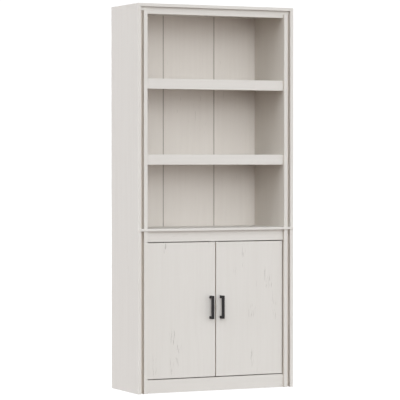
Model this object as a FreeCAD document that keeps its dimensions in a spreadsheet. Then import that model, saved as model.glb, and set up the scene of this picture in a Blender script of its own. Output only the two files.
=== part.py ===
"""Tall bookcase: three open compartments over a cabinet with two inset doors.

Millimetres, +Z up, +X to the right and +Y to the back of someone facing the doors. The origin is on the
floor, under the middle of the whole object from its handles to its back panels.
"""
import FreeCAD, Part
import math
import os
import re

import Sketcher

# ---------------------------------------------------------------- driving dimensions

SIZES = [
    # the whole
    ("height", 1800, "floor to the top of the top panel"),
    ("width", 806, "over the outer side panels"),
    ("depth", 310, "front to rear edge of a side panel"),
    # boards
    ("sideboard", 16, "thickness of an outer side panel"),
    ("topboard", 15, "thickness of the top panel"),
    ("capboard", 18, "thickness of the board under the top panel"),
    ("reveal", 14, "width of the groove beside each stile"),
    ("innerboard", 18, "thickness of an inner side, seen as a stile"),
    ("recess", 14, "how far rails, aprons and doors lie behind the stiles"),
    ("railboard", 15, "thickness of rails and aprons"),
    ("shelfboard", 15, "thickness of shelves and the cabinet floor"),
    ("batten", 14.5, "height of the batten under the cap board"),
    ("apron", 47.5, "height of a shelf apron"),
    ("shelfone", 1455, "top of the upper shelf"),
    ("shelftwo", 1104.5, "top of the middle shelf"),
    ("counter", 761.5, "top of the counter"),
    ("counterboard", 12, "thickness of the counter"),
    ("housing", 3, "depth of the counter's housings for the upper inner sides"),
    ("nosing", 4, "how far the counter nosing stands proud of the side panels"),
    ("header", 50, "height of the rail above the doors"),
    ("plinth", 61.5, "height of the rail below the doors"),
    ("softedge", 0.6, "chamfer of a board edge"),
    # spacers between the outer and inner sides
    ("spacer", 40, "width of a spacer strip"),
    ("spacerset", 20, "front spacers, which close the grooves, behind the front edges"),
    # back
    ("backboard", 4, "thickness of a back panel"),
    ("backinset", 2, "back panel inside the outer faces"),
    ("groovewide", 4, "width of a groove in the back panels"),
    ("groovedeep", 1.5, "depth of a groove in the back panels"),
    # doors
    ("doorboard", 16, "thickness of a door"),
    ("doorgap", 4, "gap round a door"),
    ("dooredge", 1, "chamfer of a door's edges"),
    # cabinet shelf and its pins
    ("cabinetshelf", 388, "top of the loose cabinet shelf"),
    ("shelfplay", 1, "gap at each end of the cabinet shelf"),
    ("shelfset", 45, "front of the cabinet shelf behind the stiles"),
    ("pinbore", 5, "diameter of a shelf pin hole"),
    ("pinsink", 10, "depth of a shelf pin hole"),
    ("pinpitch", 32, "distance between shelf pin holes"),
    ("pinrows", 3, "shelf pin holes in a column"),
    ("pinsetback", 60, "front and rear pin holes from the board's edges"),
    ("pinreach", 8, "how far a shelf pin stands out"),
    # handles
    ("handlecentres", 96, "between the two handle screws"),
    ("handlebar", 12, "width and foot height of a handle"),
    ("handlethick", 10, "front to back of the handle's bar"),
    ("handlestand", 30, "handle front from the door front"),
    ("handleinset", 25, "handle's middle from the door's inner edge"),
    ("handlerise", 10, "handle's middle above the door's middle"),
    ("handleround", 1, "chamfer of the handle's edges"),
    # hinges
    ("hingeend", 95, "hinge middle from the door's top or bottom edge"),
    ("swingclear", 1.2, "gap between a turning door's corner and the stile"),
    ("cupbore", 35, "diameter of the cup bore"),
    ("cupset", 11.5, "middle of the cup from the hinge pin"),
    ("cupwall", 0.8, "sheet thickness of the cup and its flange"),
    ("cuprim", 2, "how far the cup's flange laps the door beside the bore"),
    ("cupcorner", 8, "cut corner of the cup's flange"),
    ("winghalf", 31, "half height of the cup flange over its wings"),
    ("wingwide", 14, "width of a flange wing"),
    ("cheekset", 8.5, "cheek of the cup from the hinge's middle"),
    ("cheek", 2, "thickness of a cheek"),
    ("cheekround", 4, "cheek round the hinge pin"),
    ("pindia", 3, "diameter of the hinge pin"),
    ("knuckle", 5.6, "outer diameter of the arm's eye"),
    ("eyeplay", 0.35, "gap between the eye and the cup's floor"),
    ("armhalf", 6.8, "half height of the arm"),
    ("armsheet", 2, "sheet thickness of the arm"),
    ("armplay", 1, "gap between the open door's edge and the arm"),
    ("armlength", 48, "length of the arm along the side"),
    ("notchplay", 1.2, "notch in the door's edge above and below the arm"),
    ("notchclear", 0.5, "gap between the open door's notch and the arm"),
    ("platethick", 3, "thickness of the mounting plate"),
    ("platehalf", 24, "half height of the mounting plate"),
    ("platelong", 36, "length of the mounting plate"),
    ("platewing", 12, "width of the plate's wings"),
    ("plateset", 22, "mounting plate behind the hinge pin"),
    # magnetic catch
    ("catchwide", 46, "width of the catch"),
    ("catchabove", 5, "catch housing above the header rail's lower edge"),
    ("catchbelow", 17, "catch housing below the header rail's lower edge"),
    ("catchdeep", 14, "depth of the catch housing"),
    ("catchflange", 22, "height of the catch's flange on the header rail"),
    ("strikewide", 16, "width of a strike plate"),
    ("strikehigh", 34, "height of a strike plate"),
    ("strikethick", 1.2, "thickness of a strike plate"),
    ("strikeinset", 2.5, "strike plate from the door's inner and upper edges"),
    ("strikeclear", 0.4, "gap between strike and catch"),
    ("magnet", 10, "height and width of a magnet"),
    ("magnetdeep", 4, "thickness of a magnet"),
    ("magnetrise", 2.5, "magnet above the catch's lower edge"),
    # handle screws
    ("boltdia", 4, "diameter of a handle screw"),
    ("bolthead", 8, "diameter of its head"),
    ("headthick", 2, "thickness of its head"),
    ("boltplay", 0.3, "radial clearance of a handle screw in its door"),
    ("boltsink", 10, "depth of a handle screw's hole in the handle"),
    # fits
    ("tipplay", 1, "gap between a screw's or pin's tip and the end of its hole"),
    ("fitplay", 0.05, "radial clearance of a screw or pin in its hole"),
]

doc = FreeCAD.newDocument("Bookcase")
sheet = doc.addObject("Spreadsheet::Sheet", "Sizes")
for row, (alias, size, meaning) in enumerate(SIZES, 1):
    sheet.set(f"A{row}", alias)
    sheet.set(f"B{row}", str(size))
    sheet.set(f"C{row}", meaning)
    sheet.setAlias(f"B{row}", alias)
doc.recompute()

# Places worked out from the driving dimensions, each a formula in their names and in other places.
PLACES = {
    "zero": "width * 0",
    "front": "(handlestand - recess - depth - backboard) / 2",
    "rear": "front + depth",
    "outside": "width / 2",
    "cavity": "outside - sideboard",
    "stile_outer": "cavity - reveal",
    "clear": "stile_outer - innerboard",
    "set_front": "front + recess",
    "rail_back": "set_front + railboard",
    "top_under": "height - topboard",
    "cap_under": "top_under - capboard",
    "counter_under": "counter - counterboard",
    "counter_middle": "counter - counterboard / 2",
    "upper_foot": "counter - housing",
    "header_under": "counter_under - header",
    "door_low": "plinth + doorgap",
    "door_high": "header_under - doorgap",
    "door_outer": "clear - doorgap",
    "door_inner": "doorgap / 2",
    "door_back": "set_front + doorboard",
    "door_half": "doorboard / 2",
    # the pin is so far from the door's edge that its corners just pass the stile
    "swing": "doorgap - swingclear",
    "pin_edge": "(door_half ^ 2 - swing ^ 2) / (2 * swing)",
    "pin_x": "door_outer - pin_edge",
    "pin_y": "set_front + door_half",
    "cup_x": "pin_x - cupset",
    "cup_deep": "door_half + knuckle / 2 + eyeplay + cupwall + fitplay",
    "notch_deep": "door_half + armsheet / 2 + notchclear",
    "notch_half": "armhalf + notchplay",
    "pin_half": "cheekset + cheek",
    "arm_wall": "pin_edge + doorgap",
    "arm_face": "arm_wall - platethick",
    "arm_crank": "pin_edge + armplay",
    "hinge_low": "door_low + hingeend",
    "hinge_high": "door_high - hingeend",
    "handle_x": "door_inner + handleinset",
    "handle_z": "(door_low + door_high) / 2 + handlerise",
    "catch_front": "door_back + strikethick + strikeclear",
    "strike_x": "door_inner + strikeinset + strikewide / 2",
    "strike_high": "door_high - strikeinset",
    "strike_low": "strike_high - strikehigh",
    "shelf_pin_z": "cabinetshelf - shelfboard - pinbore / 2",
}

SIDES = {"left": "-", "right": ""}      # sign of X on each side
LEVELS = {"upper": "hinge_high", "lower": "hinge_low"}


def formula(text):
    """Turn a formula in size and place names into a FreeCAD expression."""
    def spelled(match):
        word = match.group(0)
        if word in PLACES:
            return f"({formula(PLACES[word])})"
        return f"Sizes.{word}"
    return re.sub(r"[a-z_]+", spelled, str(text))


def bind(thing, prop, text):
    thing.setExpression(prop, formula(text))


# ---------------------------------------------------------------- ways of making a piece

def new_body(name, at=("zero", "zero", "zero")):
    """A body whose own origin lies at the place given by three formulas."""
    body = doc.addObject("PartDesign::Body", name)
    body.Label = name
    for axis, place in zip("xyz", at):
        bind(body, f"Placement.Base.{axis}", place)
    return body


def new_sketch(body, name, plane, level="zero"):
    """A sketch on one of the body's origin planes, moved along that plane's normal."""
    sketch = body.newObject("Sketcher::SketchObject", f"{body.Name}_{name}")
    base = [item for item in body.Origin.OriginFeatures if item.Role == plane][0]
    sketch.AttachmentSupport = [(base, "")]
    sketch.MapMode = "FlatFace"
    bind(sketch, "AttachmentOffset.Base.z", level)
    return sketch


def fix_point(sketch, curve, point, place):
    """Hold a curve's point at a place given by two formulas."""
    for kind, distance in zip(("DistanceX", "DistanceY"), place):
        index = sketch.addConstraint(Sketcher.Constraint(kind, -1, 1, curve, point, 1.0))
        bind(sketch, f"Constraints[{index}]", distance)


def draw_outline(sketch, corners):
    """A closed outline of straight lines through corners, each a pair of formulas."""
    first = sketch.GeometryCount
    count = len(corners)
    turn = 2 * math.pi / count
    start = [FreeCAD.Vector(math.cos(i * turn), math.sin(i * turn), 0) for i in range(count)]
    for index in range(count):
        sketch.addGeometry(Part.LineSegment(start[index], start[(index + 1) % count]))
    for index in range(count):
        following = first + (index + 1) % count
        sketch.addConstraint(Sketcher.Constraint("Coincident", first + index, 2, following, 1))
    for index, corner in enumerate(corners):
        fix_point(sketch, first + index, 1, corner)


def draw_symmetric(sketch, quarter):
    """An outline that is the same in all four quarters, from the corners in its first one, clockwise."""
    back = quarter[::-1]
    draw_outline(sketch, quarter + [(x, f"-({y})") for x, y in back]
                 + [(f"-({x})", f"-({y})") for x, y in quarter] + [(f"-({x})", y) for x, y in back])


def draw_rectangle(sketch, low, high):
    draw_outline(sketch, [low, (high[0], low[1]), high, (low[0], high[1])])


def draw_circles(sketch, centres, diameter):
    for centre in centres:
        index = sketch.GeometryCount
        circle = Part.Circle(FreeCAD.Vector(index, 0, 0), FreeCAD.Vector(0, 0, 1), 1)
        sketch.addGeometry(circle)
        fix_point(sketch, index, 3, centre)
        size = sketch.addConstraint(Sketcher.Constraint("Diameter", index, 2.0))
        bind(sketch, f"Constraints[{size}]", diameter)


def pad(body, sketch, length, backwards=False):
    """Grow the sketch along its normal, or against it."""
    feature = body.newObject("PartDesign::Pad", f"{sketch.Name}_pad")
    feature.Profile = sketch
    bind(feature, "Length", length)
    feature.Reversed = backwards
    return feature


def pocket(body, sketch, length, along=False):
    """Cut against the sketch's normal, or along it."""
    feature = body.newObject("PartDesign::Pocket", f"{sketch.Name}_pocket")
    feature.Profile = sketch
    bind(feature, "Length", length)
    feature.Reversed = along
    return feature


def soften(body, size):
    """Chamfer every edge that the body has so far."""
    base = body.Tip
    doc.recompute()
    feature = body.newObject("PartDesign::Chamfer", f"{body.Name}_chamfer")
    feature.Base = (base, [])
    feature.UseAllEdges = True
    bind(feature, "Size", size)


def board(name, size, corner, edge="softedge"):
    """A board padded up from its plan: its size and its low corner are three formulas each."""
    body = new_body(name, corner)
    plan = new_sketch(body, "plan", "XY_Plane")
    draw_rectangle(plan, ("zero", "zero"), (size[0], size[1]))
    pad(body, plan, size[2])
    if edge:
        soften(body, edge)
    return body


def low_x(side, thickness, face):
    """Low X of an upright board whose face towards the middle lies at +face or -face."""
    if side == "right":
        return face
    return f"-({face}) - {thickness}"


def discs(body, name, plane, level, centres, diameter, length, backwards=False):
    """Pad round studs on a plane, one at each centre."""
    sketch = new_sketch(body, name, plane, level)
    draw_circles(sketch, centres, diameter)
    return pad(body, sketch, length, backwards)


def holes(body, name, plane, level, centres, diameter, length, along=False):
    """Cut round holes from a plane, one at each centre."""
    sketch = new_sketch(body, name, plane, level)
    draw_circles(sketch, centres, diameter)
    return pocket(body, sketch, length, along)


def repeat_upwards(body, feature, length, count):
    """Repeat a feature up its sketch, over a length."""
    pattern = body.newObject("PartDesign::LinearPattern", f"{feature.Name}_column")
    pattern.Originals = [feature]
    pattern.Direction = (feature.Profile[0], ["V_Axis"])
    bind(pattern, "Length", length)
    bind(pattern, "Occurrences", count)
    body.Tip = pattern


# ---------------------------------------------------------------- outer frame

def outer_frame():
    for side in SIDES:
        board(f"{side}_side_panel", ("sideboard", "depth", "top_under"),
              (low_x(side, "sideboard", "cavity"), "front", "zero"))
    board("top_panel", ("width", "depth", "topboard"), ("-outside", "front", "top_under"))
    board("cap_board", ("2 * cavity", "depth - recess", "capboard"), ("-cavity", "set_front", "cap_under"))
    board("top_batten", ("2 * clear", "railboard", "batten"), ("-clear", "set_front", "cap_under - batten"))


# ---------------------------------------------------------------- inner sides and spacers

def inner_sides():
    for side in SIDES:
        low = low_x(side, "innerboard", "clear")
        board(f"{side}_upper_inner_side", ("innerboard", "depth", "cap_under - upper_foot"),
              (low, "front", "upper_foot"))
        lower = board(f"{side}_lower_inner_side", ("innerboard", "depth", "counter_under"),
                      (low, "front", "zero"))
        face = {"left": "innerboard", "right": "zero"}[side]
        outwards = side == "right"
        lowest = [(place, "shelf_pin_z - (pinrows - 1) / 2 * pinpitch")
                  for place in ("pinsetback", "depth - pinsetback")]
        first = holes(lower, "shelf_pins", "YZ_Plane", face, lowest, "pinbore", "pinsink", outwards)
        repeat_upwards(lower, first, "(pinrows - 1) * pinpitch", "pinrows")


def spacer_strips(name, low, high):
    """Four upright strips between the inner and outer sides; the front two close the grooves."""
    strips = new_body(name, ("zero", "zero", low))
    plan = new_sketch(strips, "plan", "XY_Plane")
    for near, far in (("-cavity", "-stile_outer"), ("stile_outer", "cavity")):
        for start in ("front + spacerset", "rear - spacer"):
            draw_rectangle(plan, (near, start), (far, f"{start} + spacer"))
    pad(strips, plan, f"{high} - ({low})")


# ---------------------------------------------------------------- shelves, counter and rails

def shelf_with_apron(name, top):
    board(f"{name}_shelf", ("2 * clear", "rear - rail_back", "shelfboard"),
          ("-clear", "rail_back", f"{top} - shelfboard"))
    board(f"{name}_apron", ("2 * clear", "railboard", "apron"), ("-clear", "set_front", f"{top} - apron"))


def counter_and_rails():
    top = board("counter_board", ("2 * cavity", "depth", "counterboard"), ("-cavity", "front", "counter_under"))
    housings = new_sketch(top, "housings", "XY_Plane", "counterboard")
    draw_rectangle(housings, ("reveal", "zero"), ("reveal + innerboard", "depth"))
    draw_rectangle(housings, ("cavity + clear", "zero"), ("cavity + stile_outer", "depth"))
    pocket(top, housings, "housing")
    board("counter_nosing", ("width", "nosing", "counterboard"),
          ("-outside", "front - nosing", "counter_under"))
    board("header_rail", ("2 * clear", "railboard", "header"), ("-clear", "set_front", "header_under"))
    board("plinth_rail", ("2 * clear", "railboard", "plinth"), ("-clear", "set_front", "zero"))
    board("bottom_panel", ("2 * clear", "rear - rail_back", "shelfboard"),
          ("-clear", "rail_back", "plinth - shelfboard"))
    board("rear_plinth_rail", ("2 * clear", "railboard", "plinth - shelfboard"),
          ("-clear", "rear - railboard", "zero"))


# ---------------------------------------------------------------- back panels

def back_panel(name, low, high):
    """A thin panel fixed on from behind, scored into three planks on the side that shows."""
    panel = board(name, ("width - 2 * backinset", "backboard", f"{high} - ({low})"),
                  ("backinset - outside", "rear", low), edge=None)
    plan = new_sketch(panel, "scores", "XY_Plane")
    for third in ("width / 3 - backinset", "2 * width / 3 - backinset"):
        draw_outline(plan, [(f"{third} - groovewide / 2", "zero"), (f"{third} + groovewide / 2", "zero"),
                            (third, "groovedeep")])
    pocket(panel, plan, f"{high} - ({low})", along=True)


# ---------------------------------------------------------------- cabinet shelf and its pins

def cabinet_shelf():
    board("cabinet_shelf", ("2 * (clear - shelfplay)", "depth - shelfset", "shelfboard"),
          ("shelfplay - clear", "front + shelfset", "cabinetshelf - shelfboard"))
    pins = new_body("shelf_pins")
    places = [(place, "shelf_pin_z") for place in ("front + pinsetback", "rear - pinsetback")]
    for side, sign in SIDES.items():
        discs(pins, side, "YZ_Plane", f"{sign}(clear - pinreach)", places, "pinbore - 2 * fitplay",
              "pinreach + pinsink - tipplay", backwards=side == "left")


# ---------------------------------------------------------------- doors

def door(side, sign):
    """A slab with two cup bores, each open through a notch to the outer edge, and two handle holes."""
    low = {"left": "-door_outer", "right": "door_inner"}[side]
    panel = board(f"{side}_door", ("door_outer - door_inner", "doorboard", "door_high - door_low"),
                  (low, "set_front", "door_low"), "dooredge")
    back = "-doorboard"

    def across(place):
        """A distance from the cabinet's middle, counted from this door's low corner."""
        return f"{sign}({place}) - ({low})"

    ups = [f"{level} - door_low" for level in LEVELS.values()]
    cups = [(across("cup_x"), up) for up in ups]
    holes(panel, "cups", "XZ_Plane", back, cups, "cupbore", "cup_deep", along=True)
    notch = new_sketch(panel, "notches", "XZ_Plane", back)
    for up in ups:
        draw_rectangle(notch, (across("cup_x"), f"{up} - notch_half"),
                       (across("door_outer + doorgap"), f"{up} + notch_half"))
    pocket(panel, notch, "notch_deep", along=True)
    bolts = [(across("handle_x"), f"handle_z - door_low {turn} handlecentres / 2") for turn in "+-"]
    holes(panel, "bolts", "XZ_Plane", back, bolts, "boltdia + 2 * boltplay", "doorboard", along=True)


def strike(side, sign):
    """The plate that the magnet holds, on the door's back."""
    plate = new_body(f"{side}_strike", (f"{sign}(strike_x)", "door_back", "strike_low"))
    face = new_sketch(plate, "face", "XZ_Plane", "-strikethick")
    draw_rectangle(face, ("-strikewide / 2", "zero"), ("strikewide / 2", "strikehigh"))
    pad(plate, face, "strikethick")


# ---------------------------------------------------------------- handles

def handle(side, sign):
    """A square bar bent into a flat C, with a screw hole up each foot, and its two screws."""
    pull = new_body(f"{side}_handle", (f"{sign}(handle_x) - handlebar / 2", "set_front", "handle_z"))
    profile = new_sketch(pull, "profile", "YZ_Plane")
    outer = "(handlecentres + handlebar) / 2"
    inner = "(handlecentres - handlebar) / 2"
    draw_outline(profile, [("zero", f"-{outer}"), ("zero", f"-{inner}"),
                           ("handlethick - handlestand", f"-{inner}"), ("handlethick - handlestand", inner),
                           ("zero", inner), ("zero", outer),
                           ("-handlestand", outer), ("-handlestand", f"-{outer}")])
    pad(pull, profile, "handlebar")
    soften(pull, "handleround")
    feet = [("handlebar / 2", f"{turn}handlecentres / 2") for turn in "+-"]
    holes(pull, "bolts", "XZ_Plane", "zero", feet, "boltdia + 2 * fitplay", "boltsink", along=True)
    bolts = new_body(f"{side}_handle_screws", (f"{sign}(handle_x)", "door_back", "handle_z"))
    centres = [("zero", f"{turn}handlecentres / 2") for turn in "+-"]
    discs(bolts, "shanks", "XZ_Plane", "zero", centres, "boltdia", "doorboard + boltsink - tipplay")
    discs(bolts, "heads", "XZ_Plane", "zero", centres, "bolthead", "headthick", backwards=True)


# ---------------------------------------------------------------- hinges

def hinge_cup(side, sign, level):
    """A pressed cup with a winged flange, two cheeks for the pin, and a way out for the arm."""
    cup = new_body(f"{side}_{level}_hinge_cup", (f"{sign}(cup_x)", "door_back", LEVELS[level]))
    middle = [("zero", "zero")]
    brim = "-cupwall"
    deep = "cup_deep - fitplay"
    discs(cup, "shell", "XZ_Plane", "zero", middle, "cupbore - 2 * fitplay", deep)
    flange = new_sketch(cup, "flange", "XZ_Plane", brim)
    side_out = "cupbore / 2 + cuprim"
    corner = "cupbore / 2 + cuprim - cupcorner"
    quarter = [("wingwide / 2", "winghalf"), ("wingwide / 2", side_out), (corner, side_out), (side_out, corner)]
    draw_symmetric(flange, quarter)
    pad(cup, flange, "cupwall")
    holes(cup, "hollow", "XZ_Plane", brim, middle, "cupbore - 2 * fitplay - 2 * cupwall", deep, along=True)
    cheeks = new_sketch(cup, "cheeks", "XZ_Plane", "door_half - cheekround")
    for low, high in (("-pin_half", "-cheekset"), ("cheekset", "pin_half")):
        draw_rectangle(cheeks, (f"{sign}(cupset - cheekround)", low), (f"{sign}(cupset + pindia / 2)", high))
    pad(cup, cheeks, f"{deep} - door_half + cheekround")
    notch = new_sketch(cup, "notch", "XZ_Plane", brim)
    draw_rectangle(notch, ("zero", "-notch_half"), (f"{sign}(cupbore / 2 + 2 * cuprim)", "notch_half"))
    pocket(cup, notch, "notch_deep + cupwall", along=True)
    axle = [(f"{sign}cupset", "-door_half")]
    holes(cup, "axle", "XY_Plane", "-pin_half - fitplay", axle, "pindia + 2 * fitplay",
          "2 * (pin_half + fitplay)", along=True)


def hinge_arm(side, sign, level):
    """A strap with an eye round the hinge pin, cranked twice to lie along the mounting plate."""
    arm = new_body(f"{side}_{level}_hinge_arm", (f"{sign}(pin_x)", "pin_y", f"{LEVELS[level]} - armhalf"))
    half = "armsheet / 2"
    inside = "arm_face - armsheet"
    corners = [(f"-{half}", "pindia / 2 + armsheet / 2"), (half, "pindia / 2 + armsheet / 2"),
               (half, "arm_crank"), ("arm_face", "arm_crank"), ("arm_face", "arm_crank + armlength"),
               (inside, "arm_crank + armlength"), (inside, "arm_crank + armsheet"),
               (f"-{half}", "arm_crank + armsheet")]
    strap = new_sketch(arm, "strap", "XY_Plane")
    draw_outline(strap, [(f"{sign}({across})", back) for across, back in corners])
    pad(arm, strap, "2 * armhalf")
    discs(arm, "eye", "XY_Plane", "zero", [("zero", "zero")], "knuckle", "2 * armhalf")
    holes(arm, "bore", "XY_Plane", "zero", [("zero", "zero")], "pindia + 2 * fitplay",
          "2 * armhalf", along=True)


def hinge_plate(side, sign, level):
    """A cross-shaped mounting plate on the inner side."""
    middle = (f"{sign}(clear)", "pin_y + plateset + platelong / 2", LEVELS[level])
    plate = new_body(f"{side}_{level}_hinge_plate", middle)
    cross = new_sketch(plate, "cross", "YZ_Plane")
    draw_symmetric(cross, [("platewing / 2", "platehalf"), ("platewing / 2", "notch_half"),
                           ("platelong / 2", "notch_half")])
    pad(plate, cross, "platethick", backwards=side == "right")


def hinge_pins(side, sign):
    """The two pins on which a door turns, in the cheeks of its cups."""
    pins = new_body(f"{side}_hinge_pins", (f"{sign}(pin_x)", "pin_y", "zero"))
    for level, middle in LEVELS.items():
        discs(pins, level, "XY_Plane", f"{middle} - pin_half", [("zero", "zero")], "pindia", "2 * pin_half")


# ---------------------------------------------------------------- magnetic catch

def magnetic_catch():
    """A housing behind the header rail that reaches down behind the doors' inner top corners."""
    corner = ("-catchwide / 2", "rail_back", "header_under")
    catch = new_body("magnetic_catch", corner)
    face = "catch_front - rail_back"
    profile = new_sketch(catch, "profile", "YZ_Plane")
    draw_outline(profile, [("zero", "softedge"), ("zero", "catchflange"), (face, "catchflange"),
                           (face, "catchabove"), (f"{face} + catchdeep", "catchabove"),
                           (f"{face} + catchdeep", "-catchbelow"), (face, "-catchbelow"),
                           (face, "softedge")])
    pad(catch, profile, "catchwide")
    sockets = new_sketch(catch, "sockets", "XZ_Plane", f"-({face})")
    draw_magnets(sockets)
    pocket(catch, sockets, "magnetdeep")
    magnets = new_body("catch_magnets", corner)
    faces = new_sketch(magnets, "faces", "XZ_Plane", f"-({face})")
    draw_magnets(faces)
    pad(magnets, faces, "magnetdeep", backwards=True)


def draw_magnets(sketch):
    """The outlines of both magnets, one behind each strike."""
    low = "magnetrise - catchbelow"
    for turn in "+-":
        middle = f"catchwide / 2 {turn} strike_x"
        draw_rectangle(sketch, (f"{middle} - magnet / 2", low), (f"{middle} + magnet / 2", f"{low} + magnet"))


# ---------------------------------------------------------------- the whole

def build():
    outer_frame()
    inner_sides()
    spacer_strips("lower_side_spacers", "zero", "counter_under")
    spacer_strips("upper_side_spacers", "counter", "cap_under")
    shelf_with_apron("upper", "shelfone")
    shelf_with_apron("middle", "shelftwo")
    counter_and_rails()
    back_panel("lower_back_panel", "backinset", "counter_middle")
    back_panel("upper_back_panel", "counter_middle", "height - backinset")
    cabinet_shelf()
    for side, sign in SIDES.items():
        door(side, sign)
        strike(side, sign)
        handle(side, sign)
        hinge_pins(side, sign)
        for level in LEVELS:
            hinge_cup(side, sign, level)
            hinge_arm(side, sign, level)
            hinge_plate(side, sign, level)
    magnetic_catch()
    doc.recompute()


def check_and_write():
    """Stop if anything failed, was left empty or cut nothing; then write one file for each body."""
    for item in doc.Objects:
        if {"Invalid", "Error"} & set(item.State):
            raise RuntimeError(f"{item.Name} failed: {item.State}")
        cuts = item.TypeId in ("PartDesign::Pocket", "PartDesign::LinearPattern")
        if cuts and item.Shape.Volume >= item.BaseFeature.Shape.Volume:
            raise RuntimeError(f"{item.Name} cuts nothing")
    bodies = [item for item in doc.Objects if item.TypeId == "PartDesign::Body"]
    for body in bodies:
        if body.Shape.isNull() or not body.Shape.isValid() or not body.Shape.Solids:
            raise RuntimeError(f"{body.Label} is not a valid solid")
    os.makedirs("parts", exist_ok=True)
    for body in bodies:
        body.Shape.exportStep(f"parts/{body.Label}.step")


build()
check_and_write()
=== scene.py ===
"""Looks of the bookcase: finishes of its CAD pieces, dressed handles, screws and back, in a white studio.

Metres, +Z up, +X to the right and +Y to the back of someone facing the doors.
"""
import math
import random

import bmesh
import bpy
from mathutils import Matrix, Vector


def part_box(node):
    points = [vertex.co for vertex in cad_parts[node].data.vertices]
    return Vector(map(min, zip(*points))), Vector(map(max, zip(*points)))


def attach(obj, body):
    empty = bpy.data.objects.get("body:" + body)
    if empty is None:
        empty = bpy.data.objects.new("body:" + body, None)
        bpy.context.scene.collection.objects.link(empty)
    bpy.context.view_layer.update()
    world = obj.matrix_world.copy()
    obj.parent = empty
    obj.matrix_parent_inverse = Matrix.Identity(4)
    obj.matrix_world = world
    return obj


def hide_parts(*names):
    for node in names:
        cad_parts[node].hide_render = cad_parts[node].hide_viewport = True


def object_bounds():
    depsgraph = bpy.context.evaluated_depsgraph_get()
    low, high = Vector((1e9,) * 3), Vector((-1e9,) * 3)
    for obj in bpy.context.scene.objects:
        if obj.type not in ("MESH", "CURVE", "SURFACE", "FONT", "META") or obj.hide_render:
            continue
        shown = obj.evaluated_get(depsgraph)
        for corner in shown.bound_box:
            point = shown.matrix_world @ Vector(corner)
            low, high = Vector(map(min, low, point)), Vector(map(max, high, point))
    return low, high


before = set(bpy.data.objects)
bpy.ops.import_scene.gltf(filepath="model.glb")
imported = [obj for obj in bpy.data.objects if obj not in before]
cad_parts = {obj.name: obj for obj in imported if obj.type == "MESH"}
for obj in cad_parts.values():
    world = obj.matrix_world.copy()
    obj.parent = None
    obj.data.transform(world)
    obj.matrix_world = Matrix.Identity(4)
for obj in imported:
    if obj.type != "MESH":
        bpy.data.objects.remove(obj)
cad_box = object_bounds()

MM = 0.001
X, Y, Z = range(3)
LOW, HIGH = range(2)
SIDES = {"left": -1, "right": 1}
LEVELS = ("upper", "lower")


# ---------------------------------------------------------------- places that the frame gives

def face(node, axis, end):
    """One coordinate of a node's box, such as its Y at the high end."""
    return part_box(node)[end][axis]


def middle(node):
    low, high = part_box(node)
    return (low + high) / 2


# ---------------------------------------------------------------- node trees

class Tree:
    """A node tree, with short ways to add and join its nodes."""

    def __init__(self, tree):
        self.tree = tree

    def add(self, kind, inputs=None, **settings):
        """Add a node; inputs maps a socket's name or number to a value or to another node's output."""
        node = self.tree.nodes.new(f"ShaderNode{kind}")
        for key, value in settings.items():
            setattr(node, key, value)
        for key, value in (inputs or {}).items():
            self.feed(node.inputs[key], value)
        return node

    def feed(self, socket, value):
        if isinstance(value, bpy.types.NodeSocket):
            self.tree.links.new(value, socket)
        elif isinstance(value, (tuple, list)) and len(value) == 3 and socket.type == "RGBA":
            socket.default_value = (*value, 1)
        else:
            socket.default_value = value

    def math(self, operation, first, second=0.0, third=0.0):
        return self.add("Math", {0: first, 1: second, 2: third}, operation=operation).outputs[0]

    def weigh(self, *parts):
        """The sum of some values, each times its weight."""
        total = 0.0
        for value, weight in parts:
            total = self.math("MULTIPLY_ADD", value, weight, total)
        return total

    def vector(self, operation, first, second=(0, 0, 0), third=(0, 0, 0)):
        node = self.add("VectorMath", {0: first, 1: second}, operation=operation)
        if operation == "MULTIPLY_ADD":
            self.feed(node.inputs[2], third)
        return node.outputs["Value" if operation in ("LENGTH", "DOT_PRODUCT") else 0]

    def ramp(self, value, low, high, to_low=0.0, to_high=1.0):
        """Ease value's range from low to high over to another range."""
        node = self.add("MapRange", {"Value": value, "From Min": low, "From Max": high,
                                     "To Min": to_low, "To Max": to_high}, interpolation_type="SMOOTHSTEP")
        return node.outputs[0]

    def mix(self, share, first, second):
        node = self.add("Mix", {0: share, 6: first, 7: second}, data_type="RGBA")
        return node.outputs[2]

    def noise(self, place, scale, detail=2.0, roughness=0.5):
        """Noise from 0 to 1 with scale marks for each unit of the place."""
        node = self.add("TexNoise", {"Vector": place, "Scale": scale, "Detail": detail,
                                     "Roughness": roughness})
        return node.outputs[0]

    def between(self, noise, low=0.0, high=1.0):
        """A value from low to high that follows a noise, which seldom leaves 0.3 to 0.7."""
        return self.ramp(noise, 0.3, 0.7, low, high)


class Shader(Tree):
    """A material and its node tree."""

    def __init__(self, name):
        self.material = bpy.data.materials.new(name)
        self.material.use_nodes = True
        super().__init__(self.material.node_tree)
        self.surface = self.tree.nodes["Principled BSDF"]

    def set(self, **values):
        """Feed the surface's own sockets: base_color is Base Color, specular_ior_level Specular IOR Level."""
        for key, value in values.items():
            self.feed(self.surface.inputs[key.replace("_", " ").title().replace("Ior", "IOR")], value)

    def place(self, shift=(0, 0, 0)):
        """The point in the row frame, shifted."""
        return self.vector("ADD", self.add("TexCoord").outputs["Object"], shift)

    def bump(self, height, distance, strength):
        node = self.add("Bump", {"Height": height, "Distance": distance, "Strength": strength})
        return node.outputs[0]


def shaded(colour, share):
    return tuple(part * share for part in colour)


# ---------------------------------------------------------------- laminate

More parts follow.
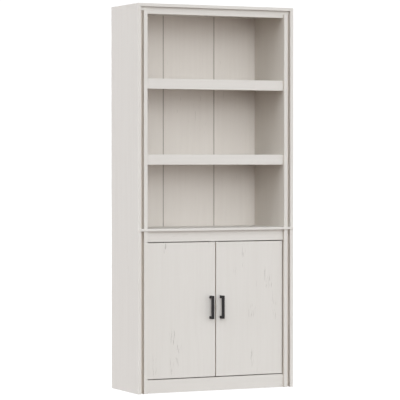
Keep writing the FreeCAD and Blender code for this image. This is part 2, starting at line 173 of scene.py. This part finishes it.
# a darker and a paler tone of the print on the boards, the back, and the strips deep in the side grooves,
# whose tones are darker as painted shade of the grooves
BOARD_TONES = ((0.697, 0.670, 0.638), (0.715, 0.690, 0.659))
BACK_TONES = ((0.715, 0.668, 0.622), (0.733, 0.688, 0.642))
STRIP_SHADE_TONES = ((0.67, 0.612, 0.548), (0.69, 0.632, 0.568))
# darker brown of the edge banding: partly its colour, partly painted shade in the gaps round the doors
EDGE_BAND_AND_SHADE = (0.58, 0.49, 0.38)
CRACK = (0.17, 0.14, 0.115)
RUBBED = shaded(BOARD_TONES[0], 0.86)
LOW_GLOSS = 0.3         # specular level of laminate and powder coat

# marks of the print, each its width across the grain and its length along it
SWAY_MARK = (60 * MM, 280 * MM)
BAND_MARK = (16 * MM, 550 * MM)
FIBRE_MARK = (1.3 * MM, 50 * MM)
CLOUD_MARK = (100 * MM, 420 * MM)
HAIRLINE_MARK = (3 * MM, 60 * MM)
SWAY = 12 * MM          # how far marks wander to each side
PRINT_SHIFT = 4         # the most that a board's print is shifted along each axis
HAIRLINE_DARK = 0.28    # share of the crack's colour in a hairline
RUB_WIDE = 1.2 * MM
RUB_MOST = 0.5          # share of the rubbed colour on an edge


def marks(shader, place, along, size, detail=2.0, roughness=0.5):
    """Noise in long marks along one axis; size is a mark's width across the grain and its length along it."""
    across, length = size
    scale = [1 / across] * 3
    scale["xyz".index(along)] = 1 / length
    return shader.noise(shader.vector("MULTIPLY", place, tuple(scale)), 1.0, detail, roughness)


def swayed(shader, place, along):
    """The place shifted a little across the grain, so that long marks wander."""
    sway = shader.math("MULTIPLY_ADD", marks(shader, place, along, SWAY_MARK, detail=1.0), 2 * SWAY, -SWAY)
    parts = {number: 0.0 if axis == along else sway for number, axis in enumerate("xyz")}
    return shader.vector("ADD", place, shader.add("CombineXYZ", parts).outputs[0])


def laminate(name, along, seed, tones=BOARD_TONES, door=None, band_and_shade=0.0):
    """Matt laminate with a faint embossed wood print along an axis.

    door is the side of a door, whose cracks are placed one by one. band_and_shade is the share of the darker
    edge banding tone on faces that look sideways, up or down: partly the banding's colour, partly painted
    shade in the gaps round the doors.
    """
    shader = Shader(name)
    luck = random.Random(seed)
    place = shader.place(tuple(luck.uniform(-PRINT_SHIFT, PRINT_SHIFT) for _ in range(3)))
    wander = swayed(shader, place, along)
    bands = marks(shader, wander, along, BAND_MARK, detail=3.0, roughness=0.55)
    fibres = marks(shader, wander, along, FIBRE_MARK, roughness=0.6)
    tone = shader.weigh((bands, 0.65), (fibres, 0.35))
    colour = shader.mix(shader.ramp(tone, 0.34, 0.66), *tones)
    dark = placed_cracks(shader, door) if door else hairlines(shader, place, wander, along)
    colour = shader.mix(dark, colour, CRACK)
    # darker edge banding tone on sideways faces, partly painted shade of the gaps
    if band_and_shade:
        colour = shader.mix(shader.math("MULTIPLY", looks_aside(shader), band_and_shade), colour, EDGE_BAND_AND_SHADE)
    colour = shader.mix(edge_rub(shader, place), colour, RUBBED)
    height = shader.weigh((bands, 0.15), (fibres, 0.6), (dark, -1.0))
    shader.set(base_color=colour, roughness=shader.between(fibres, 0.50, 0.62),
               normal=shader.bump(height, 0.2 * MM, 0.5), specular_ior_level=LOW_GLOSS)
    return shader.material


def hairlines(shader, place, wander, along):
    """Short fine cracks of the wood print, gathered where broad clouds of noise are dense."""
    lines = marks(shader, wander, along, HAIRLINE_MARK, detail=1.5, roughness=0.4)
    clouds = marks(shader, place, along, CLOUD_MARK)
    return shader.math("MULTIPLY", shader.ramp(lines, 0.70, 0.78),
                       shader.ramp(clouds, 0.52, 0.66, to_high=HAIRLINE_DARK))


def looks_aside(shader):
    """One on faces that look sideways, up or down, and nothing on those that look to the front or back."""
    normal = shader.vector("ABSOLUTE", shader.add("TexCoord").outputs["Normal"])
    return shader.ramp(shader.vector("DOT_PRODUCT", normal, (0, 1, 0)), 0.3, 0.7, 1.0, 0.0)


def edge_rub(shader, place):
    """Where a board's edges are rubbed a little duller: the rounded normal leaves the true one there."""
    rounded = shader.add("Bevel", {"Radius": RUB_WIDE}, samples=4).outputs[0]
    true = shader.add("NewGeometry").outputs["Normal"]
    turn = shader.math("SUBTRACT", 1.0, shader.vector("DOT_PRODUCT", rounded, true))
    worn = shader.ramp(shader.noise(place, 60.0, 3.0), 0.42, 0.62)
    return shader.math("MULTIPLY", shader.ramp(turn, 0.02, 0.25, to_high=RUB_MOST), worn)


# ---------------------------------------------------------------- cracks of the doors' print

# each crack's x, z, half width and half length in mm, and how dark it is, from 0 to 1
DOOR_CRACKS = {
    "left": ((-258, 679, 1.5, 17, 1.0), (-265, 652, 1.0, 9, 0.4),
             (-213, 271, 1.3, 19, 0.75), (-217, 231, 1.2, 15, 0.8), (-215, 249, 1.0, 18, 0.5),
             (-228, 262, 1.1, 32, 0.5), (-196, 214, 1.0, 12, 0.6), (-192, 192, 1.0, 14, 0.5),
             (-179, 205, 0.9, 24, 0.25), (-195, 138, 1.1, 28, 0.5), (-233, 137, 1.1, 24, 0.4),
             (-230, 97, 1.2, 22, 0.4), (-217, 132, 0.9, 18, 0.25), (-323, 150, 0.9, 40, 0.25),
             (-320, 98, 1.1, 23, 0.5), (-306, 100, 1.0, 21, 0.35)),
    "right": ((139, 650, 1.1, 34, 0.55), (156, 653, 0.9, 14, 0.3), (142, 586, 1.0, 15, 0.3),
              (259, 540, 1.4, 36, 0.65), (265, 482, 1.0, 12, 0.5), (282, 522, 0.9, 29, 0.3),
              (294, 488, 1.2, 15, 0.55), (300, 433, 0.9, 40, 0.2), (216, 495, 0.9, 19, 0.25),
              (174, 354, 1.1, 26, 0.45), (208, 368, 0.9, 28, 0.25), (316, 340, 1.1, 21, 0.4),
              (190, 163, 1.3, 28, 0.6), (189, 121, 1.1, 26, 0.45), (217, 87, 0.9, 13, 0.3)),
}

# patches of fine strands round the cracks, in the same way
DOOR_STRANDS = {
    "left": ((-224, 262, 17, 39, 0.55), (-199, 182, 14, 58, 0.45), (-230, 123, 9, 39, 0.35),
             (-314, 130, 14, 55, 0.3), (-263, 671, 11, 25, 0.35)),
    "right": ((146, 624, 9, 58, 0.4), (273, 522, 24, 53, 0.45), (191, 367, 20, 35, 0.35),
              (306, 391, 15, 72, 0.25), (192, 152, 11, 46, 0.4), (104, 558, 14, 23, 0.3)),
}

# marks of noise per metre across a door, through it and up it
WAVER_MARKS = (40, 0, 38)
GAP_MARKS = (150, 0, 90)
STRAND_MARKS = (260, 0, 24)
WAVER = 5 * MM          # how far a crack strays to each side
CORE = 0.4              # share of a crack's half size that is fully dark
RIM = 1.15              # share of it where the dark ends


def placed_cracks(shader, side):
    """Dark tapered hairlines on a door's front, some with finer strands beside them."""
    point = shader.add("TexCoord").outputs["Object"]
    mid_door = middle(f"{side}_door").y
    on_front = shader.math("LESS_THAN", shader.vector("DOT_PRODUCT", point, (0, 1, 0)), mid_door)
    waver = shader.noise(shader.vector("MULTIPLY", point, WAVER_MARKS), 1.0)
    waver = shader.math("MULTIPLY_ADD", waver, 2 * WAVER, -WAVER)
    point = shader.vector("ADD", point, shader.add("CombineXYZ", {0: waver, 1: 0.0, 2: 0.0}).outputs[0])
    gaps = shader.noise(shader.vector("MULTIPLY", point, GAP_MARKS), 1.0)
    cracks = shader.math("MULTIPLY", darkest(shader, point, DOOR_CRACKS[side]),
                         shader.ramp(gaps, 0.3, 0.55, to_low=0.55))
    strands = shader.noise(shader.vector("MULTIPLY", point, STRAND_MARKS), 1.0)
    strands = shader.math("MULTIPLY", darkest(shader, point, DOOR_STRANDS[side]),
                          shader.ramp(strands, 0.56, 0.70))
    return shader.math("MULTIPLY", shader.math("MAXIMUM", cracks, strands), on_front)


def darkest(shader, point, ellipses):
    """How dark the darkest of some soft ellipses is at a point of a door's front."""
    result = 0.0
    for x, z, half_wide, half_long, depth in ellipses:
        scale = (1 / (half_wide * MM), 0, 1 / (half_long * MM))
        centre = (-x / half_wide, 0, -z / half_long)
        away = shader.vector("LENGTH", shader.vector("MULTIPLY_ADD", point, scale, centre))
        result = shader.math("MAXIMUM", result, shader.ramp(away, CORE, RIM, depth, 0.0))
    return result


# ---------------------------------------------------------------- other materials

# a darker and a paler tone of each
# the back's grooves are coloured dark: painted shade in the scored grooves
GROOVE_SHADE_TONES = ((0.36, 0.325, 0.29), (0.414, 0.374, 0.334))
BLACK_TONES = ((0.013, 0.0115, 0.0125), (0.021, 0.019, 0.0205))
NICKEL_TONES = ((0.52, 0.51, 0.49), (0.64, 0.63, 0.61))
FIBREBOARD_TONES = ((0.23, 0.145, 0.08), (0.36, 0.24, 0.145))
PLASTIC_TONES = ((0.74, 0.73, 0.70), (0.80, 0.79, 0.77))
FERRITE_TONES = ((0.02, 0.02, 0.021), (0.05, 0.05, 0.052))
FOLD_MARK = (1.2 * MM, 30 * MM)     # width and length of the fibres in the back's grooves
BRUSH_MARKS = (1500, 1500, 60)      # brush marks of the nickel per metre, along each axis


def paint_groove_shade():
    """The scored grooves of the back, painted dark as the shade that falls in them, with fibres where the
    paper is folded.
    """
    shader = Shader("back_groove_painted_shade")
    fibres = marks(shader, shader.place(), "z", FOLD_MARK)
    shader.set(base_color=shader.mix(fibres, *GROOVE_SHADE_TONES),
               roughness=shader.between(fibres, 0.6, 0.75), normal=shader.bump(fibres, 0.1 * MM, 0.5))
    return shader.material


def black_powder_coat():
    """Satin black with the fine orange peel of powder."""
    shader = Shader("black_powder_coat")
    place = shader.place()
    speck = shader.noise(place, 1400.0)
    cloud = shader.noise(place, 60.0)
    shader.set(base_color=shader.mix(cloud, *BLACK_TONES), roughness=shader.between(cloud, 0.42, 0.55),
               normal=shader.bump(speck, 0.06 * MM, 0.4), specular_ior_level=LOW_GLOSS)
    return shader.material


def nickel():
    """Plated steel, finely brushed and dull in patches."""
    shader = Shader("nickel_plate")
    place = shader.place()
    brush = shader.noise(shader.vector("MULTIPLY", place, BRUSH_MARKS), 1.0)
    dull = shader.noise(place, 120.0, 3.0)
    shader.set(base_color=shader.mix(dull, *NICKEL_TONES), roughness=shader.between(dull, 0.24, 0.38),
               normal=shader.bump(brush, 0.03 * MM, 0.4), metallic=1.0)
    return shader.material


def raw_fibreboard():
    """Pressed wood fibre with flecks."""
    shader = Shader("raw_fibreboard")
    place = shader.place()
    fleck = shader.noise(place, 380.0, 4.0, 0.65)
    cloud = shader.noise(place, 14.0, 3.0)
    share = shader.weigh((fleck, 0.8), (cloud, 0.2))
    shader.set(base_color=shader.mix(shader.between(share), *FIBREBOARD_TONES),
               roughness=shader.between(fleck, 0.72, 0.86), normal=shader.bump(fleck, 0.2 * MM, 0.5))
    return shader.material


def moulded_plastic():
    """White plastic with the fine grain of its mould."""
    shader = Shader("white_plastic")
    place = shader.place()
    fine = shader.noise(place, 900.0)
    cloud = shader.noise(place, 40.0)
    shader.set(base_color=shader.mix(cloud, *PLASTIC_TONES), roughness=shader.between(fine, 0.38, 0.5),
               normal=shader.bump(fine, 0.05 * MM, 0.4))
    return shader.material


def ferrite():
    """Dark sintered magnets."""
    shader = Shader("ferrite")
    fine = shader.noise(shader.place(), 700.0, 3.0)
    shader.set(base_color=shader.mix(fine, *FERRITE_TONES), roughness=shader.between(fine, 0.45, 0.6),
               normal=shader.bump(fine, 0.1 * MM, 0.3))
    return shader.material


# ---------------------------------------------------------------- finishes of the CAD nodes

UPRIGHT_GRAIN = ("left_side_panel", "right_side_panel", "left_upper_inner_side", "right_upper_inner_side",
                 "left_lower_inner_side", "right_lower_inner_side")
LEVEL_GRAIN = ("top_panel", "cap_board", "top_batten", "upper_shelf", "upper_apron", "middle_shelf",
               "middle_apron", "counter_board", "counter_nosing", "header_rail", "plinth_rail",
               "rear_plinth_rail", "bottom_panel", "cabinet_shelf")
WALL_BAND_AND_SHADE = 0.25        # share of the darker edge banding tone on the flanks of the inner sides, partly their colour and partly painted shade in the gaps
DOOR_BAND_AND_SHADE = 0.7         # and on the edges of the doors

# first seeds of the other prints: those of the boards above count from 0
DOOR_SEED = 30
BACK_SEED = 40
STRIP_SEED = 50


def dress(node, material):
    """Give a CAD node one material."""
    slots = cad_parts[node].data.materials
    slots.clear()
    slots.append(material)


def dress_frame(metal):
    """Give its finish to each CAD node that no piece replaces."""
    for seed, node in enumerate(UPRIGHT_GRAIN):
        band_and_shade = WALL_BAND_AND_SHADE if "inner_side" in node else 0.0
        dress(node, laminate(f"{node}_laminate", "z", seed, band_and_shade=band_and_shade))
    for seed, node in enumerate(LEVEL_GRAIN, len(UPRIGHT_GRAIN)):
        dress(node, laminate(f"{node}_laminate", "x", seed))
    for seed, side in enumerate(SIDES, DOOR_SEED):
        dress(f"{side}_door", laminate(f"{side}_door_laminate", "z", seed, door=side, band_and_shade=DOOR_BAND_AND_SHADE))
    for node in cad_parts:
        if "hinge" in node or "strike" in node or node == "shelf_pins":
            dress(node, metal)
        elif "spacers" in node:
            # the strips deep in the side grooves take darker tones: painted shade of the grooves
            dress(node, laminate(f"{node}_laminate", "z", STRIP_SEED, STRIP_SHADE_TONES))
    dress("magnetic_catch", moulded_plastic())
    dress("catch_magnets", ferrite())


# ---------------------------------------------------------------- meshes

def mesh_data(name, mesh, materials):
    """Turn a bmesh into mesh data with materials."""
    data = bpy.data.meshes.new(name)
    mesh.to_mesh(data)
    mesh.free()
    for material in materials:
        data.materials.append(material)
    return data


def new_piece(name, mesh, body, slot, *materials):
    """Turn a bmesh into a piece that rides on a body and wears the materials given; slot is not used."""
    bmesh.ops.recalc_face_normals(mesh, faces=mesh.faces)
    piece = bpy.data.objects.new(name, mesh_data(name, mesh, materials))
    bpy.context.scene.collection.objects.link(piece)
    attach(piece, body)
    return piece


def ring(mesh, points):
    return [mesh.verts.new(point) for point in points]


def skin(mesh, first, second):
    """Join two rings of as many points each."""
    corners = zip(first, first[1:] + first[:1], second[1:] + second[:1], second)
    return [mesh.faces.new(each) for each in corners]


def loft(mesh, rings):
    """Skin a row of rings and close the first one."""
    mesh.faces.new(rings[0])
    for first, second in zip(rings, rings[1:]):
        skin(mesh, first, second)


# ---------------------------------------------------------------- handles

BAR_THICK = 10 * MM             # of the upright bar, from its front to its back
CORNER_ROUND = 2.2 * MM         # radius of the handle's two outer corners
EDGE_ROUND = 0.8 * MM           # radius of the handle's long edges
ROUND_STEPS = 4


def quarter(centre, radius, start):
    """Points of a quarter circle in the Y-Z plane, from the start angle on, in degrees."""
    turns = [math.radians(start + 90 * step / ROUND_STEPS) for step in range(ROUND_STEPS + 1)]
    return [(centre[0] + radius * math.cos(turn), centre[1] + radius * math.sin(turn)) for turn in turns]


def handle_outline(low, high, bar, inset):
    """The flat C of a handle, with round outer corners, set in by the same amount on every side."""
    front, door = low.y + inset, high.y - inset
    base, crown = low.z + inset, high.z - inset
    inner = low.y + BAR_THICK - inset
    below, above = low.z + bar - inset, high.z - bar + inset
    radius = CORNER_ROUND - inset
    points = [(door, base), (door, below), (inner, below), (inner, above), (door, above), (door, crown)]
    points += quarter((front + radius, crown - radius), radius, 90)
    points += quarter((front + radius, base + radius), radius, 180)
    return points


def handle(side, coat):
    """A square bar bent into a flat C, with eased edges, in the place of its CAD node."""
    node = f"{side}_handle"
    low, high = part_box(node)
    mesh = bmesh.new()
    left_rings, right_rings = [], []
    for step in range(ROUND_STEPS + 1):
        turn = math.pi / 2 * step / ROUND_STEPS
        inset, inwards = EDGE_ROUND * (1 - math.sin(turn)), EDGE_ROUND * (1 - math.cos(turn))
        outline = handle_outline(low, high, high.x - low.x, inset)
        left_rings.append(ring(mesh, [(low.x + inwards, y, z) for y, z in outline]))
        right_rings.append(ring(mesh, [(high.x - inwards, y, z) for y, z in outline]))
    loft(mesh, left_rings + right_rings[::-1])
    mesh.faces.new(right_rings[0])
    for each in mesh.faces:
        each.smooth = True
    piece = new_piece(f"{side}_pull", mesh, f"{side}_door", "black_handle", coat)
    piece.modifiers.new("even_shading", "WEIGHTED_NORMAL")
    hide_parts(node)


# ---------------------------------------------------------------- screws

# heads of the screws, each its radius and height
CUP_HEAD = (3.6 * MM, 1.5 * MM)
STRIKE_HEAD = (3.2 * MM, 0.35 * MM)
PLATE_HEAD = (3.4 * MM, 1.4 * MM)
ARM_HEAD = (3.4 * MM, 1.6 * MM)
CATCH_HEAD = (3.0 * MM, 1.2 * MM)
SHANK_RADIUS = 2 * MM           # of the handle screws

# where the screws sit on the CAD nodes
CUP_SCREW_OFF = 24 * MM         # above and below the cup's middle
STRIKE_SCREW_UP = 8 * MM        # over the strike's lower edge
PLATE_SCREW_OFF = 16 * MM       # above and below the mounting plate's middle
ARM_THICK = 2 * MM              # the arm's height on its mounting plate
CATCH_BODY = 14 * MM            # what the catch has behind its flange
CATCH_SCREW_OFF = 15 * MM       # left and right of the catch's middle
CATCH_SCREW_DOWN = 8 * MM       # under the catch's upper edge

# a head's outline from its rim up to its crown, in shares of its radius and height
DOME = ((1.0, 0.0), (1.0, 0.30), (0.97, 0.52), (0.88, 0.78), (0.72, 0.95), (0.6, 1.0))
# the cross recess, in shares of its half width
PLUS = ((1, -0.3), (1, 0.3), (0.3, 0.3), (0.3, 1), (-0.3, 1), (-0.3, 0.3),
        (-1, 0.3), (-1, -0.3), (-0.3, -0.3), (-0.3, -1), (0.3, -1), (0.3, -0.3))
PER_EDGE = 3                    # points of a head's round rings for each edge of its cross recess
RECESS_BRIM = 0.52              # the recess's half width at its brim and sole, in shares of the radius
RECESS_SOLE = 0.40
RECESS_LEVEL = 0.25             # the height of its sole, as a share of the head's

MOST_TURN = 1.5                 # radians that a screw is turned by at most
SCREW_SEED = 11
BACKWARDS = Vector((0, 1, 0))


def screw(mesh, place, out, head, turn, shank=None):
    """A domed head with a cross recess on the plane at place, facing out; shank is a radius and a length."""
    radius, high = head
    count = PER_EDGE * len(PLUS)
    turned = out.to_track_quat("Z", "X").to_matrix() @ Matrix.Rotation(turn, 3, "Z")

    def at(x, y, z):
        return place + turned @ Vector((x, y, z))

    def circle(size, z):
        angles = [math.radians(index * 360 / count - 180 / len(PLUS)) for index in range(count)]
        return ring(mesh, [at(size * math.cos(angle), size * math.sin(angle), z) for angle in angles])

    def cross(size, z):
        return ring(mesh, [at(size * x, size * y, z) for x, y in PLUS])

    rings = [circle(radius * wide, high * up) for wide, up in DOME]
    if shank:
        rings = [circle(shank[0], -shank[1]), circle(shank[0], 0.0)] + rings
    loft(mesh, rings)
    brim = cross(radius * RECESS_BRIM, high)
    for index in range(len(PLUS)):
        arc = [rings[-1][(PER_EDGE * index + step) % count] for step in range(PER_EDGE + 1)]
        mesh.faces.new([brim[index], *arc, brim[(index + 1) % len(PLUS)]])
    sole = cross(radius * RECESS_SOLE, high * RECESS_LEVEL)
    skin(mesh, brim, sole)
    mesh.faces.new(sole)


def handle_screws(side, metal, luck):
    """Two machine screws whose heads lie on the door's back, in the place of their CAD node."""
    node = f"{side}_handle_screws"
    low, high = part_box(node)
    back = face(f"{side}_door", Y, HIGH)
    mesh = bmesh.new()
    radius = (high.x - low.x) / 2
    for up in (low.z + radius, high.z - radius):
        screw(mesh, Vector((middle(node).x, back, up)), BACKWARDS, (radius, high.y - back),
              luck.uniform(0, MOST_TURN), (SHANK_RADIUS, back - low.y))
    piece = new_piece(f"{side}_pull_screws", mesh, f"{side}_door", "zinc_steel", metal)
    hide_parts(node)


def door_screws(side, metal, luck):
    """Two screws in each cup flange and one in the strike."""
    mesh = bmesh.new()
    for level in LEVELS:
        cup = f"{side}_{level}_hinge_cup"
        centre = middle(cup)
        for way in (-1, 1):
            place = Vector((centre.x, face(cup, Y, HIGH), centre.z + way * CUP_SCREW_OFF))
            screw(mesh, place, BACKWARDS, CUP_HEAD, luck.uniform(0, MOST_TURN))
    strike = f"{side}_strike"
    place = Vector((middle(strike).x, face(strike, Y, HIGH), face(strike, Z, LOW) + STRIKE_SCREW_UP))
    screw(mesh, place, BACKWARDS, STRIKE_HEAD, luck.uniform(0, MOST_TURN))
    new_piece(f"{side}_door_screws", mesh, f"{side}_door", "zinc_steel", metal)


def carcass_screws(metal, luck):
    """Screws of the four mounting plates, the four arms and the catch."""
    mesh = bmesh.new()
    for side, sign in SIDES.items():
        inwards = Vector((-sign, 0, 0))
        for level in LEVELS:
            plate = f"{side}_{level}_hinge_plate"
            centre = middle(plate)
            inner = face(plate, X, HIGH if side == "left" else LOW)
            for way in (-1, 1):
                place = Vector((inner, centre.y, centre.z + way * PLATE_SCREW_OFF))
                screw(mesh, place, inwards, PLATE_HEAD, luck.uniform(0, MOST_TURN))
            place = Vector((inner - sign * ARM_THICK, centre.y, middle(f"{side}_{level}_hinge_arm").z))
            screw(mesh, place, inwards, ARM_HEAD, luck.uniform(0, MOST_TURN))
    catch = "magnetic_catch"
    for way in (-1, 1):
        place = Vector((way * CATCH_SCREW_OFF, face(catch, Y, HIGH) - CATCH_BODY,
                        face(catch, Z, HIGH) - CATCH_SCREW_DOWN))
        screw(mesh, place, BACKWARDS, CATCH_HEAD, luck.uniform(0, MOST_TURN))
    new_piece("carcass_screws", mesh, "carcass", "zinc_steel", metal)


# ---------------------------------------------------------------- back panels

SEAM = 0.3 * MM                 # half the open joint between the two back panels
GROOVE_HALF = 2 * MM            # half the width of a scored groove
GROOVE_DEEP = 1.5 * MM
LIP_WIDE = 0.4 * MM             # the soft lips on both sides of a groove
LIP_DEEP = 0.16 * MM
# the third is the grooves' painted shade, also used on the ends
PRINTED, RAW, SHADED_GROOVE = range(3)         # order of a back board's materials

NAIL_HIGH = 0.3 * MM
NAIL_SUNK = 0.2 * MM
NAIL_RADIUS = 2.3 * MM
NAIL_DOME = ((1.0, 0.4), (0.8, 0.85), (0.4, 1.0))       # outline in shares of the radius and height
NAIL_POINTS = 16
NAIL_PITCH = 125 * MM
NAIL_END = 24 * MM              # from a panel's upper and lower edges to the nails along the sides
ROW_HALF = 330 * MM             # half the length of a level row of nails
SEAM_NAIL_OFF = 3.4 * MM        # above and below the seam
PLINTH_NAIL_DOWN = 8 * MM       # under the middle of the rear plinth rail


def back_board(name, node, materials):
    """A thin scored panel, set in by the height of the nail heads; two grooves part the width in thirds.

    Its upper and lower ends take the grooves' painted shade too.
    """
    low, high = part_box(node)
    rear = high.y - NAIL_HIGH
    groove_x = (cad_box[1].x - cad_box[0].x) / 6
    outline = [(low.x, low.y, PRINTED)]         # x, y and the finish of the stretch up to the next point
    for x in (-groove_x, groove_x):
        outline += [(x - GROOVE_HALF - LIP_WIDE, low.y, SHADED_GROOVE), (x - GROOVE_HALF, low.y + LIP_DEEP, SHADED_GROOVE),
                    (x, low.y + GROOVE_DEEP, SHADED_GROOVE), (x + GROOVE_HALF, low.y + LIP_DEEP, SHADED_GROOVE),
                    (x + GROOVE_HALF + LIP_WIDE, low.y, PRINTED)]
    outline += [(high.x, low.y, RAW), (high.x, rear, RAW), (low.x, rear, RAW)]
    mesh = bmesh.new()
    ends = [ring(mesh, [(x, y, z) for x, y, _ in outline]) for z in (low.z + SEAM, high.z - SEAM)]
    for wall, (_, _, finish) in zip(skin(mesh, *ends), outline):
        wall.material_index = finish
    for end in ends:
        # the ends take the grooves' painted shade
        mesh.faces.new(end).material_index = SHADED_GROOVE
    piece = new_piece(name, mesh, "carcass", "back_panel", *materials)
    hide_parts(node)


def nail(mesh, x, z, rear):
    """A flat round nail head, slightly domed."""
    angles = [2 * math.pi * index / NAIL_POINTS for index in range(NAIL_POINTS)]

    def circle(size, y):
        return ring(mesh, [(x + size * math.cos(angle), y, z + size * math.sin(angle)) for angle in angles])

    rings = [circle(NAIL_RADIUS, rear - NAIL_SUNK)]
    rings += [circle(NAIL_RADIUS * wide, rear + NAIL_HIGH * up) for wide, up in NAIL_DOME]
    loft(mesh, rings)
    mesh.faces.new(rings[-1])


def spread(low, high, pitch):
    """Evenly spaced places from low to high, about a pitch apart."""
    count = max(1, round((high - low) / pitch))
    return [low + (high - low) * step / count for step in range(count + 1)]


def back_nails(metal):
    """Nails of the back panels, into the sides' rear edges and into every board that the back meets."""
    rear = face("upper_back_panel", Y, HIGH) - NAIL_HIGH
    mesh = bmesh.new()
    for level in LEVELS:
        low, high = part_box(f"{level}_back_panel")
        for side in SIDES:
            for up in spread(low.z + NAIL_END, high.z - NAIL_END, NAIL_PITCH):
                nail(mesh, middle(f"{side}_side_panel").x, up, rear)
    heights = [middle(node).z for node in ("cap_board", "upper_shelf", "middle_shelf", "bottom_panel")]
    seam = face("upper_back_panel", Z, LOW)
    heights += [seam + SEAM_NAIL_OFF, seam - SEAM_NAIL_OFF, middle("rear_plinth_rail").z - PLINTH_NAIL_DOWN]
    for up in heights:
        for x in spread(-ROW_HALF, ROW_HALF, NAIL_PITCH):
            nail(mesh, x, up, rear)
    new_piece("back_nails", mesh, "carcass", "zinc_steel", metal)


# ---------------------------------------------------------------- studio

# colours of the lamps
DAYLIGHT = (0.92, 0.95, 0.963)
COOL = (0.946, 0.973, 1.0)

# far, broad softboxes: the direction towards each, its width in degrees, its power and colour
LAMPS = {
    "front_high": ((-0.43, -0.90, 0.60), 60, 1.60, DAYLIGHT),
    "front_low": ((-0.08, -1.0, 0.15), 30, 0.66, DAYLIGHT),
    "right": ((0.70, -0.70, 0.10), 90, 1.38, DAYLIGHT),
    "left": ((-1.0, 0.10, 0.35), 40, 2.44, COOL),
    "rear": ((0.25, 1.0, 0.6), 40, 2.2, DAYLIGHT),
    "right_rear": ((1.0, 0.35, 0.35), 30, 1.5, DAYLIGHT),
}

# glow of the room from below and from above, which blend about the horizon
GLOW_BELOW = (0.16, 0.10, 0.07)
GLOW_ABOVE = (0.10, 0.10, 0.10)
BLEND = 0.35                    # height on the unit sphere, up or down, where the blend ends

STAGE_RADIUS = 40.0
COVE = 6.0                      # radius of the sweep from the floor into the wall
COVE_STEPS = 8
WALL_HIGH = 30.0
CEILING = (0.7, 1.4)            # its radius and height, in shares of the wall's
STAGE_POINTS = 64
FLOOR_GAP = 0.3 * MM            # keeps the floor clear of the underside
PAPER_TONES = ((0.05, 0.05, 0.05), (0.055, 0.055, 0.055))
PAPER_GLOW = 0.975


def studio():
    """A dim room, soft lamps in front, a broad one from the right, and others on the left and behind."""
    world = bpy.data.worlds.new("studio")
    bpy.context.scene.world = world
    world.use_nodes = True
    room = Tree(world.node_tree)
    height = room.add("SeparateXYZ", {0: room.add("TexCoord").outputs["Generated"]}).outputs["Z"]
    glow = room.mix(room.ramp(height, -BLEND, BLEND), GLOW_BELOW, GLOW_ABOVE)
    room.feed(world.node_tree.nodes["Background"].inputs["Color"], glow)
    for name, (towards, width, power, colour) in LAMPS.items():
        soft_sun(name, towards, width, power, colour)
    backdrop()


def soft_sun(name, towards, width, power, colour):
    """A sun lamp with a wide angle, in the direction given."""
    light = bpy.data.lights.new(name, "SUN")
    light.color = colour
    light.angle = math.radians(width)
    light.energy = power
    lamp = bpy.data.objects.new(name, light)
    lamp.rotation_euler = (-Vector(towards)).to_track_quat("-Z", "Y").to_euler()
    bpy.context.scene.collection.objects.link(lamp)


def backdrop():
    """A round pale floor that sweeps up into a wall and a ceiling, seen by the camera alone."""
    profile = [(STAGE_RADIUS - COVE, 0.0)]
    for step in range(1, COVE_STEPS + 1):
        turn = math.pi / 2 * step / COVE_STEPS
        profile.append((STAGE_RADIUS - COVE + COVE * math.sin(turn), COVE - COVE * math.cos(turn)))
    profile += [(STAGE_RADIUS, WALL_HIGH), (STAGE_RADIUS * CEILING[0], WALL_HIGH * CEILING[1])]
    angles = [2 * math.pi * index / STAGE_POINTS for index in range(STAGE_POINTS)]
    ground = cad_box[0].z - FLOOR_GAP
    mesh = bmesh.new()
    rings = [ring(mesh, [(wide * math.cos(angle), wide * math.sin(angle), ground + up) for angle in angles])
             for wide, up in profile]
    loft(mesh, rings)
    mesh.faces.new(rings[-1])
    shader = Shader("backdrop_paper")
    shader.set(base_color=shader.mix(shader.noise(shader.place(), 3.0), *PAPER_TONES), roughness=0.9,
               emission_color=(1, 1, 1), emission_strength=PAPER_GLOW)
    paper = bpy.data.objects.new("backdrop", mesh_data("backdrop", mesh, [shader.material]))
    bpy.context.scene.collection.objects.link(paper)
    for ray in ("diffuse", "glossy", "transmission", "shadow"):
        setattr(paper, f"visible_{ray}", False)


# ---------------------------------------------------------------- camera

SENSOR = 36                     # width, in mm
LENS = 194.53                   # in mm
LEFT_OF_MIDDLE = 4.42495
BEFORE_FRAME = 9.08038          # in front of the side panels' front edges
EYE_HIGH = 1.07361
TURNED_RIGHT = 25.53            # degrees
TILTED_DOWN = 1.03              # degrees
VIEW_DEPTH = 100                # past the backdrop


def camera():
    """A long lens, left of the middle and a little above half height, turned right and slightly down."""
    data = bpy.data.cameras.new("camera")
    data.sensor_width = SENSOR
    data.lens = LENS
    data.clip_end = VIEW_DEPTH
    view = bpy.data.objects.new("camera", data)
    view.location = (-LEFT_OF_MIDDLE, face("left_side_panel", Y, LOW) - BEFORE_FRAME, EYE_HIGH)
    view.rotation_euler = (math.pi / 2 - math.radians(TILTED_DOWN), 0, -math.radians(TURNED_RIGHT))
    bpy.context.scene.collection.objects.link(view)
    bpy.context.scene.camera = view


# ---------------------------------------------------------------- the whole

bpy.context.scene.view_settings.view_transform = "Standard"
metal = nickel()
coat = black_powder_coat()
luck = random.Random(SCREW_SEED)
dress_frame(metal)
for side in SIDES:
    handle(side, coat)
    handle_screws(side, metal, luck)
    door_screws(side, metal, luck)
carcass_screws(metal, luck)
fibreboard = raw_fibreboard()
scored = paint_groove_shade()
for seed, level in enumerate(LEVELS, BACK_SEED):
    printed = laminate(f"{level}_back_laminate", "z", seed, BACK_TONES)
    back_board(f"{level}_back_board", f"{level}_back_panel", (printed, fibreboard, scored))
back_nails(metal)
studio()
camera()
